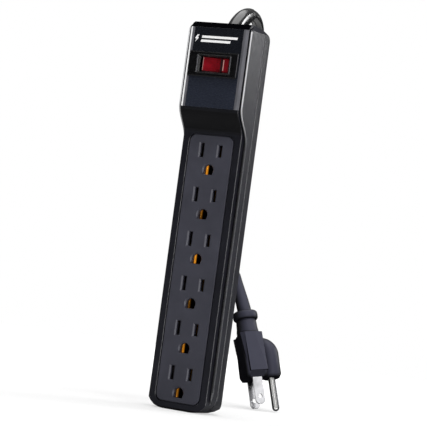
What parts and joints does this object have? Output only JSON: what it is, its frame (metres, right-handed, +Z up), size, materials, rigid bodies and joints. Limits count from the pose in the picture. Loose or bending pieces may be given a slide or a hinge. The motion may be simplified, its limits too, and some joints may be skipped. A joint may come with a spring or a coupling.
{
  "type": "surge protector power strip",
  "caption": "Slim upright power strip with a row of grounded outlets, an illuminated rocker switch in a raised head, and a short cord with a three-prong plug.",
  "frame": {"origin": "middle of the strip's box at its bottom end, where it stands", "axes": "+Z up along the strip from the outlets to the switch and cord, -Y out of the outlets, +Y out of the flat back, +X to the right when the outlets face the viewer"},
  "size_m": [0.0719, 0.1495, 0.253],
  "materials": {
    "case_black": "fine-grained satin moulding",
    "case_rear": "fine-grained moulding",
    "plate_slate": "fine sparkle texture",
    "panel_gloss": "polished",
    "trim": "satin grey",
    "switch_black": "glossy",
    "rocker_red": "translucent red",
    "nylon": "natural nylon",
    "spring_steel": "bright",
    "lamp": "clear tube",
    "contact_brass": "rolled brass",
    "board_green": "solder mask",
    "varistor_blue": "dipped epoxy",
    "fuse_body": "ceramic white",
    "wire_black": "vinyl",
    "wire_red": "vinyl",
    "wire_white": "vinyl",
    "wire_green": "vinyl",
    "screw_steel": "zinc plated",
    "label": "blank printed film",
    "cord_vinyl": "smooth vinyl",
    "plug_vinyl": "fine-grained vinyl",
    "prong_metal": "nickel plated"
  },
  "bodies": {
    "strip": {"front_cover": "case_black", "rear_cover": "case_rear", "outlet_plate": "plate_slate", "head_panel": "panel_gloss", "trim_strips": "trim", "switch_surround": "switch_black", "switch_housing": "switch_black", "rocker_lamp": "lamp", "switch_terminals": "contact_brass", "line_bus": "contact_brass", "neutral_bus": "contact_brass", "ground_bus": "contact_brass", "circuit_board": "board_green", "varistors": "varistor_blue", "thermal_fuse": "fuse_body", "line_wire": "wire_black", "switched_wire": "wire_red", "neutral_wire": "wire_white", "ground_wire": "wire_green", "cord_clamp": "switch_black", "clamp_screws": "screw_steel", "case_screws": "screw_steel", "rating_label": "label", "strain_relief": "cord_vinyl", "power_cord": "cord_vinyl", "plug_body": "plug_vinyl", "plug_line_blade": "prong_metal", "plug_neutral_blade": "prong_metal", "plug_ground_pin": "prong_metal"},
    "rocker": {"rocker": "rocker_red", "rocker_plunger": "nylon", "plunger_spring": "spring_steel"},
    "contact_arm": {"contact_arm": "contact_brass"}
  },
  "joints": [
    {"name": "rocker_tilt", "type": "hinge", "parent": "strip", "child": "rocker", "pos_m": [0, -0.0086, 0.2117], "axis": [0, 0, -1], "range_deg": [0, 16]},
    {"name": "contact_tilt", "type": "hinge", "parent": "strip", "child": "contact_arm", "pos_m": [0, -0.0019, 0.2117], "axis": [0, 0, 1], "range_deg": [0, 12]}
  ],
  "couplings": [
    {"joint": "contact_tilt", "follows": "rocker_tilt", "ratio": 0.75}
  ]
}
